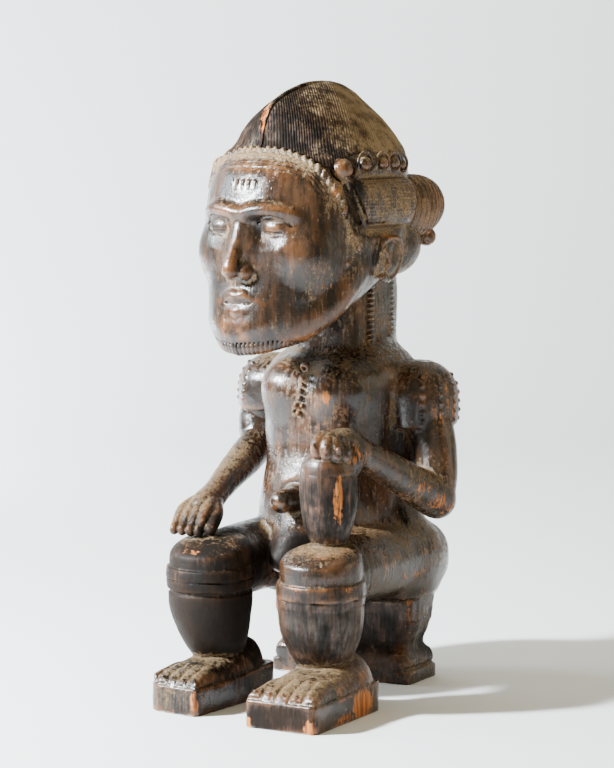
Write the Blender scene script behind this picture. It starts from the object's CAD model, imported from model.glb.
import math
import bpy
import numpy as np
from mathutils import Matrix, Vector


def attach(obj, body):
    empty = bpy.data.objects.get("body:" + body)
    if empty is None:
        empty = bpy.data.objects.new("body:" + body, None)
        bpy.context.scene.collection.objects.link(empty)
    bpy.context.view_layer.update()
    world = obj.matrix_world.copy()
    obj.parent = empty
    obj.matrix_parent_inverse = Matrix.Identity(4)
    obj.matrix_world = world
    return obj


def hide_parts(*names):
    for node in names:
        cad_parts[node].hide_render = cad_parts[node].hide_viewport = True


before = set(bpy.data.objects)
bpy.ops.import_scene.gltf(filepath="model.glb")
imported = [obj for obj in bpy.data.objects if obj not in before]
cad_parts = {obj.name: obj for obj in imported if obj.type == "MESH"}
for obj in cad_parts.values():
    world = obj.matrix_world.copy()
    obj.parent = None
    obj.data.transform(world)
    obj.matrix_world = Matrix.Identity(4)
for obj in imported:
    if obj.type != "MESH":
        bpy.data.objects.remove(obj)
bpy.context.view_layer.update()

BIG = 50.0


def v3(a):
    return np.array(a, float)


def turn_matrix(rx=0, ry=0, rz=0):
    rx, ry, rz = (math.radians(a) for a in (rx, ry, rz))
    cx, sx, cy, sy, cz, sz = math.cos(rx), math.sin(rx), math.cos(ry), math.sin(ry), math.cos(rz), math.sin(rz)
    return (np.array([[cz, -sz, 0], [sz, cz, 0], [0, 0, 1]]) @ np.array([[cy, 0, sy], [0, 1, 0], [-sy, 0, cy]])
            @ np.array([[1, 0, 0], [0, cx, -sx], [0, sx, cx]]))


def smin(a, b, k):
    """Union of two distances, rounded over k mm."""
    if k <= 0:
        return np.minimum(a, b)
    h = np.clip(0.5 + 0.5 * (b - a) / k, 0, 1)
    return (b + (a - b) * h - k * h * (1 - h)).astype(np.float32)


def sstep(a, b, x):
    t = np.clip((x - a) / (b - a), 0, 1)
    return t * t * (3 - 2 * t)


class Shape:
    """A distance function with the box that holds it."""

    def __init__(self, f, lo, hi):
        self.f, self.lo, self.hi = f, v3(lo), v3(hi)


class Field:
    """Signed distances on a regular grid, negative inside the wood."""

    def __init__(self, lo, hi, h):
        self.lo, self.h = v3(lo), float(h)
        self.n = np.ceil((v3(hi) - self.lo) / h).astype(int) + 1
        self.F = np.full(self.n, BIG, np.float32)

    def block(self, lo, hi):
        a = np.clip(np.floor((v3(lo) - self.lo) / self.h).astype(int), 0, self.n - 1)
        b = np.clip(np.ceil((v3(hi) - self.lo) / self.h).astype(int) + 1, 1, self.n)
        if (b <= a).any():
            return None
        sl = tuple(slice(int(i), int(j)) for i, j in zip(a, b))
        ax = [(self.lo[i] + self.h * np.arange(sl[i].start, sl[i].stop)).astype(np.float32) for i in range(3)]
        return sl, np.meshgrid(*ax, indexing='ij', sparse=True)

    def apply(self, shape, op, sides, margin):
        for side in sides:
            lo, hi = shape.lo - margin, shape.hi + margin
            if side < 0:
                lo, hi = np.array([-hi[0], lo[1], lo[2]]), np.array([-lo[0], hi[1], hi[2]])
            got = self.block(lo, hi)
            if got is None:
                continue
            sl, (X, Y, Z) = got
            self.F[sl] = op(self.F[sl], shape.f(X * np.float32(side), Y, Z))

    def add(self, shape, k=0.0, sides=(1,)):
        self.apply(shape, lambda a, b: smin(a, b, k), sides, max(1.2 * k, 5 * self.h, 4.0))

    def cut(self, shape, k=0.0, sides=(1,)):
        self.apply(shape, lambda a, b: -smin(-a, b, k), sides, max(1.2 * k, 3 * self.h, 2.5))

    def push(self, shape, amount, fade, sides=(1,)):
        """Raises (or with a minus sinks) the surface near a shape, fading out over fade mm."""
        def op(a, b):
            return a - amount * (1 - sstep(0, fade, b)).astype(np.float32)
        self.apply(shape, op, sides, fade + 1)


def local(X, Y, Z, c, R):
    x, y, z = X - np.float32(c[0]), Y - np.float32(c[1]), Z - np.float32(c[2])
    if R is None:
        return x, y, z
    R = R.astype(np.float32)
    return (R[0, 0] * x + R[1, 0] * y + R[2, 0] * z, R[0, 1] * x + R[1, 1] * y + R[2, 1] * z,
            R[0, 2] * x + R[1, 2] * y + R[2, 2] * z)


def around(c, r, R):
    e = np.abs(R) @ v3(r) if R is not None else v3(r)
    return v3(c) - e, v3(c) + e


def ell(c, r, rot=None):
    R = turn_matrix(*rot) if rot is not None else None
    r = [float(q) for q in r]

    def f(X, Y, Z):
        x, y, z = local(X, Y, Z, c, R)
        k0 = np.sqrt((x / r[0]) ** 2 + (y / r[1]) ** 2 + (z / r[2]) ** 2)
        k1 = np.sqrt((x / r[0] ** 2) ** 2 + (y / r[1] ** 2) ** 2 + (z / r[2] ** 2) ** 2) + 1e-9
        return k0 * (k0 - 1) / k1
    return Shape(f, *around(c, r, R))


def sup(c, r, rot=None, p=3.0):
    """Superellipsoid: a rounded block for p over 2."""
    R = turn_matrix(*rot) if rot is not None else None

    def f(X, Y, Z):
        x, y, z = local(X, Y, Z, c, R)
        k0 = (np.abs(x / r[0]) ** p + np.abs(y / r[1]) ** p + np.abs(z / r[2]) ** p) ** (1.0 / p)
        g = (np.sqrt((x / r[0] ** 2) ** 2 + (y / r[1] ** 2) ** 2 + (z / r[2] ** 2) ** 2)
             / np.maximum(np.sqrt((x / r[0]) ** 2 + (y / r[1]) ** 2 + (z / r[2]) ** 2), 1e-6))
        return (k0 - 1) / np.maximum(g, 1e-4)
    return Shape(f, *around(c, r, R))


def cone(a, b, r1, r2=None):
    """Round-ended rod from a to b."""
    r2 = r1 if r2 is None else r2
    a, b = v3(a), v3(b)
    ba = b - a
    l2 = max(float(ba @ ba), 1e-6)
    L = math.sqrt(l2)
    rr = r1 - r2
    lean = rr / (math.sqrt(max(l2 - rr * rr, 1e-6)) * L)

    def f(X, Y, Z):
        x, y, z = local(X, Y, Z, a, None)
        t = (x * ba[0] + y * ba[1] + z * ba[2]) / l2
        perp = np.sqrt(np.maximum(x * x + y * y + z * z - t * t * l2, 0))
        tt = np.clip(t + perp * lean, 0, 1)
        return np.sqrt(perp * perp + ((t - tt) * L) ** 2) - (r1 + (r2 - r1) * tt)
    return Shape(f, np.minimum(a - r1, b - r2), np.maximum(a + r1, b + r2))


def catmull(rows, n):
    P = np.array(rows, float)
    P = np.vstack([2 * P[0] - P[1], P, 2 * P[-1] - P[-2]])
    spans = len(P) - 3
    out = []
    for i in range(n):
        u = i / (n - 1) * spans
        j = min(int(u), spans - 1)
        t = u - j
        a, b, c, d = P[j:j + 4]
        out.append(0.5 * (2 * b + (c - a) * t + (2 * a - 5 * b + 4 * c - d) * t * t + (3 * b - a - 3 * c + d) * t ** 3))
    return np.array(out)


def tube(rows, n=16):
    """Limb or ridge along a smooth curve: rows of x, y, z, radius."""
    s = catmull(rows, n)
    rods = [cone(s[i, :3], s[i + 1, :3], s[i, 3], s[i + 1, 3]) for i in range(n - 1)]

    def f(X, Y, Z):
        d = rods[0].f(X, Y, Z)
        for q in rods[1:]:
            d = np.minimum(d, q.f(X, Y, Z))
        return d
    return Shape(f, np.min([q.lo for q in rods], 0), np.max([q.hi for q in rods], 0))


def stack(rows, p=2.0, n=None, x=0.0):
    """Body of level sections: rows of z, centre y, half width, half depth."""
    rows = np.array(rows, float)
    if n:
        rows = catmull(rows, n)
        rows = rows[np.argsort(rows[:, 0])]
    z = rows[:, 0]
    slope = np.maximum(np.abs(np.gradient(rows[:, 2], z)), np.abs(np.gradient(rows[:, 3], z)))
    lean = np.sqrt(1 + np.minimum(slope, 3) ** 2)

    def f(X, Y, Z):
        zc = np.clip(Z, z[0], z[-1])
        cy, rx, ry, ln = (np.interp(zc, z, q).astype(np.float32) for q in (rows[:, 1], rows[:, 2], rows[:, 3], lean))
        u, v = np.abs((X - x) / rx), np.abs((Y - cy) / ry)
        k = (u ** p + v ** p) ** (1.0 / p)
        g = np.sqrt((u / rx) ** 2 + (v / ry) ** 2) / np.maximum(np.sqrt(u * u + v * v), 1e-6)
        d = (k - 1) / np.maximum(g, 1e-4) / ln
        dz = np.maximum(z[0] - Z, Z - z[-1])
        return (np.minimum(np.maximum(d, dz), 0) + np.sqrt(np.maximum(d, 0) ** 2 + np.maximum(dz, 0) ** 2)).astype(np.float32)
    return Shape(f, (x - rows[:, 2].max(), (rows[:, 1] - rows[:, 3]).min(), z[0]),
                 (x + rows[:, 2].max(), (rows[:, 1] + rows[:, 3]).max(), z[-1]))


def turned(rows, x, y, n=None):
    return stack([(r[0], y, r[1], r[1]) for r in rows], x=x, n=n)


def ring(c, R0, r, rot=None, squash=1.0):
    """Torus round the local z axis."""
    R = turn_matrix(*rot) if rot is not None else None

    def f(X, Y, Z):
        x, y, z = local(X, Y, Z, c, R)
        return np.sqrt((np.sqrt(x * x + (y / squash) ** 2) - R0) ** 2 + z * z) - r
    e = (R0 + r) * max(1, squash)
    return Shape(f, v3(c) - e, v3(c) + e)


def slab(c, half, z0, z1, turn=0.0, corners=(4.0, 4.0, 9.0, 9.0), edge=1.0, rise=0.0):
    """Upright slab, its corners rounded (front -x, front +x, back -x, back +x); the top may rise to the back."""
    t = math.radians(turn)
    ct, st = math.cos(t), math.sin(t)

    def f(X, Y, Z):
        x = (X - c[0]) * ct + (Y - c[1]) * st
        y = -(X - c[0]) * st + (Y - c[1]) * ct
        fl, fr, bl, br = corners
        wx, wy = sstep(-half[0] * 0.3, half[0] * 0.3, x), sstep(-half[1] * 0.4, half[1] * 0.4, y)
        rc = (fl * (1 - wx) + fr * wx) * (1 - wy) + (bl * (1 - wx) + br * wx) * wy
        qx, qy = np.abs(x) - (half[0] - rc), np.abs(y) - (half[1] - rc)
        d = np.sqrt(np.maximum(qx, 0) ** 2 + np.maximum(qy, 0) ** 2) + np.minimum(np.maximum(qx, qy), 0) - rc
        top = z1 + rise * sstep(-0.2, 1.0, y / half[1])
        dz = np.maximum(Z - top, z0 - Z)
        d, dz = d + edge, dz + edge
        return (np.minimum(np.maximum(d, dz), 0) + np.sqrt(np.maximum(d, 0) ** 2 + np.maximum(dz, 0) ** 2) - edge).astype(np.float32)
    e = max(half) * 1.2
    return Shape(f, (c[0] - e, c[1] - e, z0), (c[0] + e, c[1] + e, z1 + rise))


def both_of(a, b):
    """What two shapes have in common."""
    return Shape(lambda X, Y, Z: np.maximum(a.f(X, Y, Z), b.f(X, Y, Z)), np.maximum(a.lo, b.lo), np.minimum(a.hi, b.hi))


def lattice_noise(F, cell, seed):
    """Smooth noise from -1 to 1 on the field's grid, features about cell mm wide."""
    step = cell / F.h
    m = np.ceil(F.n / step).astype(int) + 3
    r = np.random.RandomState(seed).uniform(-1, 1, m).astype(np.float32)
    out = r
    for ax in range(3):
        u = np.arange(F.n[ax]) / step
        i = u.astype(int)
        t = (u - i).astype(np.float32)
        t = t * t * (3 - 2 * t)
        t = t.reshape([-1 if q == ax else 1 for q in range(3)])
        out = np.take(out, i, ax) * (1 - t) + np.take(out, i + 1, ax) * t
    return out


def blur(A, sigma, h):
    """Three box blurs along each axis, close to a Gaussian of sigma mm."""
    w = max(1, int(round(sigma / h * 0.98)))
    for ax in range(3):
        for _ in range(3):
            c = np.cumsum(np.concatenate([np.repeat(np.take(A, [0], ax), w + 1, ax), A, np.repeat(np.take(A, [-1], ax), w, ax)], ax),
                          axis=ax, dtype=np.float64)
            n = A.shape[ax]
            A = ((np.take(c, range(2 * w + 1, 2 * w + 1 + n), ax) - np.take(c, range(0, n), ax)) / (2 * w + 1)).astype(np.float32)
    return A


def sample(F, V):
    """Values and gradients of a grid at points given in cells."""
    V = np.clip(V, 0, np.array(F.shape) - 1.001)
    i = V.astype(np.int32)
    tx, ty, tz = (V - i).T
    c = [[[F[i[:, 0] + a, i[:, 1] + b, i[:, 2] + d] for d in (0, 1)] for b in (0, 1)] for a in (0, 1)]
    y00, y01 = c[0][0][0] * (1 - tx) + c[1][0][0] * tx, c[0][0][1] * (1 - tx) + c[1][0][1] * tx
    y10, y11 = c[0][1][0] * (1 - tx) + c[1][1][0] * tx, c[0][1][1] * (1 - tx) + c[1][1][1] * tx
    z0, z1 = y00 * (1 - ty) + y10 * ty, y01 * (1 - ty) + y11 * ty
    f = z0 * (1 - tz) + z1 * tz
    dx = (((c[1][0][0] - c[0][0][0]) * (1 - ty) + (c[1][1][0] - c[0][1][0]) * ty) * (1 - tz)
          + ((c[1][0][1] - c[0][0][1]) * (1 - ty) + (c[1][1][1] - c[0][1][1]) * ty) * tz)
    dy = (y10 - y00) * (1 - tz) + (y11 - y01) * tz
    return f, np.stack([dx, dy, z1 - z0], 1)


def nets(fl, steps=2):
    """Surface of the field as quads, its points drawn onto the zero level."""
    F, n = fl.F, fl.n
    S = F < 0
    cs = n - 1
    st = np.array([cs[1] * cs[2], cs[2], 1])
    cells, points, quads = [], [], []
    for ax in range(3):
        a, b = [slice(None)] * 3, [slice(None)] * 3
        a[ax], b[ax] = slice(0, -1), slice(1, None)
        idx = np.argwhere(S[tuple(a)] != S[tuple(b)])
        o1, o2 = [(1, 2), (2, 0), (0, 1)][ax]
        idx = idx[(idx[:, o1] > 0) & (idx[:, o1] < n[o1] - 1) & (idx[:, o2] > 0) & (idx[:, o2] < n[o2] - 1)]
        f0 = F[tuple(idx.T)]
        far = idx.copy()
        far[:, ax] += 1
        p = idx.astype(np.float64)
        p[:, ax] += f0 / (f0 - F[tuple(far.T)])
        q = []
        for d1, d2 in ((0, 0), (-1, 0), (-1, -1), (0, -1)):
            c = idx.copy()
            c[:, o1] += d1
            c[:, o2] += d2
            q.append(c @ st)
            points.append(p)
        cells += q
        q = np.stack(q, 1)
        q[f0 > 0] = q[f0 > 0][:, ::-1]
        quads.append(q)
    cells, points, quads = np.concatenate(cells), np.concatenate(points), np.concatenate(quads)
    u, inv = np.unique(cells, return_inverse=True)
    cnt = np.bincount(inv)
    V = np.stack([np.bincount(inv, weights=points[:, i]) / cnt for i in range(3)], 1)
    Q = np.searchsorted(u, quads)
    for _ in range(steps):
        f, g = sample(F, V)
        move = -(f / np.maximum((g ** 2).sum(1), 0.05))[:, None] * g
        V = V + move * np.minimum(1, 0.4 / np.maximum(np.linalg.norm(move, axis=1), 1e-9))[:, None]
    return fl.lo + V * fl.h, Q


# ---- the figure, in mm from the trunk's axis ------------------------------------
TRUNK = [(66, 22, 54, 44), (80, 22, 57, 50), (95, 20, 56.5, 53), (108, 14, 52, 54), (120, 9, 49, 53.5), (132, 6, 47.5, 53), (148, 5, 46, 51.5),
         (165, 5, 47, 51), (180, 5, 47.8, 51), (196, 5, 49, 50.5), (206, 6, 50, 50), (214, 8, 50, 47), (222, 11, 47, 42), (230, 15, 38, 34),
         (237, 19, 30, 27)]
LEFT_LEG = [(12, 15.5), (22, 15.0), (29, 15.4), (33.2, 17.4), (39.8, 21.6), (47.8, 25.2), (57.8, 27.6), (66.4, 28.3), (71.5, 28.2)]
RIGHT_LEG = [(12, 14.5), (22, 14.0), (29, 15.0), (37.8, 20.7), (46, 23.8), (56.2, 26.4), (64, 27.8), (68.4, 28.1), (73, 28.2)]
KNEE_PAD = [(64, 26.5), (92, 27.3), (95, 27.2), (98.5, 27.0), (101.5, 26.5), (104.0, 25.0), (106.0, 22.3), (107.6, 18.0), (108.8, 12.0), (109.4, 5.0)]
GOURD = [(104.8, 4), (106.0, 7.4), (109.5, 10.6), (114, 13.2), (119, 15.2), (126, 17.2), (136, 18.6), (146, 19.0), (154, 18.8), (160, 18.2),
         (164.4, 17.0), (168, 14.6), (171, 10.5), (173, 5)]
GOURD_AT = (44.0, -86.4)
CAP = [(174, 22.4), (181, 23.2), (189, 24.0), (198, 24.0), (206, 22.7), (212, 20.0), (216.5, 16.2), (220, 11.5), (222.5, 6.0)]
FEET = (((49.8, -112.2), (26.2, 47.3), 1, 0.0, 44.5), ((-35.0, -105.2), (21.6, 45.6), -1, -5.0, -39.0))


def strap(x, y, z0, z1, r0, r1, tilt=0.0, edge=1.0):
    """Flat band round a leg from z0 to z1, radii r0 below and r1 above, dipping to the front by tilt."""
    def f(X, Y, Z):
        d = np.sqrt((X - x) ** 2 + (Y - y) ** 2)
        zz = Z + tilt * (y - Y) / r1
        r = r0 + (r1 - r0) * np.clip((zz - z0) / (z1 - z0), 0, 1)
        a, b = d - r + edge, np.abs(zz - (z0 + z1) / 2) - (z1 - z0) / 2 + edge
        return np.minimum(np.maximum(a, b), 0) + np.sqrt(np.maximum(a, 0) ** 2 + np.maximum(b, 0) ** 2) - edge
    e = max(r0, r1)
    return Shape(f, (x - e, y - e, z0 - abs(tilt)), (x + e, y + e, z1 + abs(tilt)))


def foot(c, half, side, turn):
    """Foot on its slab: high heel, broad instep and five long toes."""
    t = math.radians(turn)
    ct, st = math.cos(t), math.sin(t)
    L = half[1]
    v0 = -L + 0.9
    vs = np.array([v0, v0 + 1.6, v0 + 4, v0 + 11, v0 + 19, v0 + 29, v0 + 41, v0 + 54, v0 + 66, v0 + 76, v0 + 84, v0 + 90, L - 0.6])
    hs = np.array([19.2, 21.6, 23.4, 25.8, 27.5, 29.0, 30.8, 34.5, 39.5, 40.5, 37.0, 29.5, 19.0])
    vv = np.array([v0, v0 + 41, v0 + 66, L])
    ps = np.array([5.0, 4.2, 2.7, 2.6])
    es = np.array([0.50, 0.52, 0.60, 0.60])
    toe_w = (2 * half[0] - 1.6) / 5

    def f(X, Y, Z):
        u = ((X - c[0]) * ct + (Y - c[1]) * st) * side
        v = -(X - c[0]) * st + (Y - c[1]) * ct
        w = half[0] - 0.7 - 3.2 * sstep(L * 0.45, L, v) - 1.2 * sstep(-L, -L * 0.6, v) * (1 - sstep(-L * 0.1, L * 0.5, v))
        # the foot narrows in a round end
        w = w * np.sqrt(np.clip(1 - np.maximum((v - L * 0.62) / (L * 0.385), 0) ** 2.4, 0.0, 1))
        h = np.interp(v, vs, hs)
        p, e = np.interp(v, vv, ps), np.interp(v, vv, es)
        a = np.clip(np.abs(u) / np.maximum(w, 0.1), 0, 1)
        top = 17.2 + (h - 17.2) * np.maximum(1 - a ** p, 0) ** e
        # toes fan a little; k 0 is the big toe, on the inner side
        fan = 1 + 0.10 * sstep(v0 + 2, v0 + 26, v)
        s = (u * fan + half[0] - 0.8) / toe_w
        k = np.clip(np.floor(s), 0, 4)
        across = np.clip((s - k - 0.5) * 2, -1, 1)
        end = v0 + 0.5 * np.abs(k - 1.6)
        along = np.clip((v - end) / 4.2, 0, 1)
        tip = np.sqrt(np.maximum(1 - (1 - along) ** 2, 0))
        ridge = 1 - 0.98 * np.abs(across) ** 2.4
        toe = 17.0 + (h - 17.0 + 0.9 - 1.9 * (1 - np.maximum(ridge, 0) ** 0.5) * sstep(v0 + 30, v0 + 16, v)) * (0.5 + 0.5 * tip)
        toe = toe - 1.5 * (1 - np.maximum(ridge, 0) ** 0.5) * (1 - sstep(v0 + 3, v0 + 12, v))
        toe = np.where((s < -0.03) | (s > 5.03) | (v < end), 12.0, toe)
        mix = sstep(v0 + 22, v0 + 31, v)
        top = np.minimum(toe, top + 1.4) * (1 - mix) + top * mix
        d = (Z - top) * 0.66
        d = np.maximum(d, np.abs(u) - w)
        return np.maximum(d, 13.0 - Z).astype(np.float32)
    e = max(half) * 1.25
    return Shape(f, (c[0] - e, c[1] - e, 13), (c[0] + e, c[1] + e, 42))


def foot_point(c, side, turn, u, v, z):
    t = math.radians(turn)
    u = u * side
    return (c[0] + u * math.cos(t) - v * math.sin(t), c[1] + u * math.sin(t) + v * math.cos(t), z)


def carve_body(h):
    B = Field((-98, -169, -2 * h), (98, 86, 296), h)
    add, cut, push = B.add, B.cut, B.push
    both = (1, -1)

    # stool: plain block and slope in front and behind, moulded ends
    add(stack([(-6, 24, 55.4, 22.8), (6.0, 24, 55.4, 22.8), (8.6, 24, 54.9, 22.7), (9.6, 24, 52.6, 22.6), (10.8, 24, 52.6, 22.5),
               (11.8, 24, 53.6, 22.5), (14.5, 24, 53.9, 22.4), (17.5, 24, 52.9, 22.2), (19.5, 24, 51.9, 21.4), (21.5, 23.7, 50.6, 18.8),
               (24.5, 23.2, 49.7, 15.0), (28, 23, 50.3, 13.0), (34, 23, 53.0, 13.4), (43, 23, 56.2, 14.4), (57, 24, 57.4, 16.0),
               (74, 24, 57.4, 18)], p=10, x=1.8), 0)
    add(stack([(56.0, 22, 53, 24), (58.5, 22, 58.5, 37), (61.4, 22, 61.8, 45), (64.5, 22, 62.8, 47.0), (68.5, 22, 62, 47), (73, 22, 58, 44)], p=2.35, n=24), 0.8)

    # trunk, belly, chest and back
    add(stack(TRUNK, p=2.25, n=48), 1.2)
    add(ell((19, -27.5, 205), (18.5, 17.0, 19)), 11, both)
    add(ell((0, -26, 134), (36, 26, 30)), 12)
    add(ell((0, -25, 112), (40, 28, 24)), 12)
    add(ell((0, -27.5, 122), (35, 25, 26)), 12)
    add(ell((43, 18, 170), (15.5, 17, 42)), 14)
    cut(cone((0, -56, 232), (0, -59, 182), 9.0, 7.5), 9)
    cut(cone((0, 66, 222), (0, 64, 118), 8.0, 9.0), 10)
    add(ell((25, 40, 196), (20, 18, 26)), 12, both)
    # neck
    add(stack([(206, 20, 27, 32), (226, 18, 28.5, 36.5), (240, 18.5, 27.8, 36.5), (262, 20, 28, 36), (276, 19.5, 28.2, 34.5), (286, 17.5, 28.3, 29.5), (293, 15, 28, 25)], p=2.9, n=24), 4)
    # slope of the shoulders
    add(tube([(22, 22, 209, 18), (40, 20, 202.5, 19), (54, 18, 198, 19)], 6), 9, both)

    # hips, buttocks, thighs
    add(sup((38, 24, 84), (29.0, 41, 25.5), p=2.5), 5, both)
    add(ell((28, 43, 88), (27, 26, 23)), 9, both)
    add(tube([(34, 12, 120, 15), (37, 15, 109, 21), (39, 20, 99, 23)], 6), 7, both)
    cut(cone((0, 80, 112), (0, 74, 66), 4.0, 5.0), 9)
    for side, kx in ((1, 44.5), (-1, -40.5)):
        add(tube([(side * 43, 22, 88, 24.5), (side * 43.5, -25, 88, 24.5), (kx, -66, 89, 24), (kx, -90, 89, 22.5)], 14), 5)
        add(tube([(side * 24, -28, 100, 15), (side * 33, -48, 95, 17)], 4), 8)

    # crotch
    add(tube([(2, -38, 110, 20), (2, -49, 105.0, 17.5), (1.0, -58, 100.0, 14.0), (-0.5, -64.5, 95.5, 10.5)], 10), 11)
    add(ell((-2.4, -70.0, 91.0), (6.5, 6.0, 5.2)), 6)

    # legs
    for side, kx in ((1, 44.5), (-1, -40.5)):
        rows = LEFT_LEG if side > 0 else RIGHT_LEG
        lean = np.interp([r[0] for r in rows], [29, 40, 50, 60], [0.8, 0.6, 0.1, 0.0] if side > 0 else [3.2, 3.0, 1.2, 0.0])
        zs = np.array([r[0] for r in rows])
        segs = catmull([(z, r, o) for (z, r), o in zip(rows, lean)], 30)

        def leg(X, Y, Z, kx=kx, S=segs):
            zc = np.clip(Z, S[0, 0], S[-1, 0])
            r, o = np.interp(zc, S[:, 0], S[:, 1]), np.interp(zc, S[:, 0], S[:, 2])
            ln = np.interp(zc, S[:, 0], np.sqrt(1 + np.minimum(np.abs(np.gradient(S[:, 1], S[:, 0])), 2) ** 2))
            d = (np.sqrt((X - kx - o * 0.87) ** 2 + (Y + 97 - o * 0.5) ** 2) - r) / ln
            return np.maximum(d, np.maximum(S[0, 0] - Z, Z - S[-1, 0])).astype(np.float32)
        add(Shape(leg, (kx - 32, -130, 10), (kx + 34, -62, 76)), 0)
        lift = 0.0 if side > 0 else 5.0
        squeeze = 1.0 if side > 0 else 1.012
        pad = turned([(z, r * squeeze) for z, r in KNEE_PAD], kx, -97, 40)
        add(Shape(lambda X, Y, Z, pad=pad: pad.f(X, Y, Z - 0.17 * (Y + 97) * sstep(92, 103, Z)), pad.lo, pad.hi + [0, 0, 6]), 0.5)
        if side > 0:
            add(strap(kx, -97, 77.6, 87.8, 29.9, 29.0, 1.2, 1.3), 0.3)
            add(strap(kx, -97, 71.2, 77.4, 28.6, 29.2, 1.2, 1.2), 0.2)
        else:
            add(strap(kx, -97, 83.4, 91.2, 30.2, 29.4, 1.0, 1.2), 0.3)
            add(strap(kx, -97, 76.2, 83.2, 29.2, 29.9, 1.0, 1.2), 0.2)

    # feet on their slabs
    for (c, half, side, turn, ax) in FEET:
        corners = (3.0, 5.0, 10, 15) if side > 0 else (15, 3.0, 15, 7)
        add(slab(c, half, -6, 17.9, turn, corners, 0.9, 2.2 if side > 0 else 4.5), 0)
        add(both_of(foot(c, half, side, turn), slab(c, (half[0] - 0.6, half[1] - 0.5), -6, 60, turn, corners, 0.5)), 0.4)
        toe_w = (2 * half[0] - 1.6) / 5
        for k in range(5):
            u = -half[0] + 0.8 + (k + 0.5) * toe_w
            nail = ell(foot_point(c, side, turn, u, -half[1] + 3.4 + (0.5 if k < 4 else 2.2) * abs(k - 1.6), 22.2), (2.2, 1.2, 2.4), (38, 0, turn))
            add(both_of(nail, slab(c, (half[0] - 0.4, half[1] - 0.3), -6, 60, turn, corners, 0.5)), 0.3)
    # small marks on the left foot's outer side
    for k in range(4):
        add(ell((72.6, -117 + 6.2 * k, 20.3), (1.6, 1.8, 1.4)), 0.4)

    # shoulder caps, cut off below in a lip
    for side, floor, tilt in ((1, 179.4, 0.06), (-1, 188.0, 0.16)):
        caps = Field(B.lo, B.lo + B.h * (B.n - 1), B.h)
        caps.add(stack([(z, 17, r, r * 1.06) for z, r in CAP], x=side * 59.3, n=30), 0)
        sl, (X, Y, Z) = caps.block((min(side * 98, 0), -30, 160), (max(side * 98, 0), 60, 240))
        caps.F[sl] = -smin(-caps.F[sl], (Z - (floor + tilt * (Y - 17))) + 0 * caps.F[sl], 1.4)
        B.F[sl] = smin(B.F[sl], caps.F[sl], 3.0)
    add(ell((52, 17, 203), (20, 22, 16)), 7, both)
    # arms
    add(tube([(62, 13, 192, 17), (71, 10, 172, 14.8), (75.5, 6, 150, 14.6), (76.3, 3, 134, 13.8)], 14), 0.8)
    add(tube([(76.5, 3, 131, 13.6), (71.5, -18, 142, 13.2), (63, -42, 156, 11.2), (55.0, -64, 168, 9.8)], 24), 1.6)
    add(ell((77.2, 5.5, 128.5), (11.0, 12, 10.5)), 2.5)
    add(tube([(-60, 14, 194, 17.0), (-65.6, 13, 180, 15.8), (-66.4, 10, 171, 14.8), (-64.0, 6, 163, 13.2)], 12), 0.8)
    add(tube([(-64, 4, 160, 12.8), (-63, -16, 151, 12.2), (-61.5, -40, 141, 10.2), (-60, -61, 131.5, 8.8)], 24), 1.6)
    add(ell((-64.8, 8.5, 160.5), (11.5, 11, 9.5)), 2.5)

    # gourd with its rim groove and faint flutes
    gx, gy = GOURD_AT
    add(turned(GOURD, gx, gy, 56), 0.5)
    cut(ring((gx, gy, 158.2), 18.7, 0.55, (3, 5, 0)), 0.4)
    for a in (-150, -95, -40, 2, 38, 68, 104):
        s, c_ = math.sin(math.radians(a)), -math.cos(math.radians(a))
        cut(cone((gx + 25.2 * s, gy + 25.2 * c_, 151), (gx + 24.4 * s, gy + 24.4 * c_, 124), 6.4), 1.0)

    # left hand over the gourd
    add(tube([(54, -67, 170, 10.2), (51, -75, 174.5, 10.8), (48.5, -81, 175.0, 10.4), (46.5, -86, 173.4, 9.6)], 10), 2.0)
    add(ell((56.5, -78.5, 165.5), (8.5, 9.5, 10.5), (0, 0, 30)), 3.5)
    for i in range(4):
        a = math.radians(-3 + 27.0 * i)
        s, c_ = math.sin(a), -math.cos(a)
        add(tube([(48.5 + 3.4 * (i - 1.4), -82.4 + 2.6 * (i - 1.5), 181.0 - 0.6 * abs(i - 1), 4.5),
                  (gx + 0.6 + 8.5 * s, gy + 8.5 * c_, 180.7 - 1.1 * i, 4.7),
                  (gx + 13.2 * s, gy + 13.2 * c_, 176.8 - 1.2 * i, 4.5), (gx + 14.9 * s, gy + 14.9 * c_, 171.4 - 1.0 * i, 3.8)], 12), 0.7)
        add(ell((gx + 17.9 * s, gy + 17.9 * c_, 174.6 - 1.0 * i), (1.7, 1.0, 3.4), (17, 0, math.degrees(a))), 0.3)

    # right hand on the knee
    add(tube([(-60, -61, 131.5, 8.9), (-59.5, -71, 128, 9.6), (-58.5, -79, 124, 9.6)], 8), 2.0)
    for i in range(4):
        add(tube([(-66.4 + 4.9 * i, -76 - 0.4 * i, 129.5 - 0.5 * abs(i - 1.5), 4.0), (-68.6 + 6.6 * i, -87 - 0.6 * i, 124.2, 4.1),
                  (-67.4 + 6.7 * i, -95.5 - 0.5 * i, 117.0, 3.8), (-66.6 + 6.6 * i, -101 - 0.3 * i, 112.4, 3.3)], 10), 0.5)
        add(ell((-66.9 + 6.6 * i, -102.2 - 0.3 * i, 114.6), (2.0, 1.6, 2.8), (-34, 0, 0)), 0.2)
    add(tube([(-54, -70, 127, 5.6), (-45, -82, 123, 4.8), (-41, -92, 117.5, 4.2), (-40.2, -98, 113.8, 3.6)], 10), 0.8)

    # navel
    add(tube([(0, -40, 131.5, 12.5), (0, -51, 132, 9.8), (0, -61, 132.4, 8.7), (-0.6, -70.0, 132.6, 8.4)], 8), 2.6)

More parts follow.
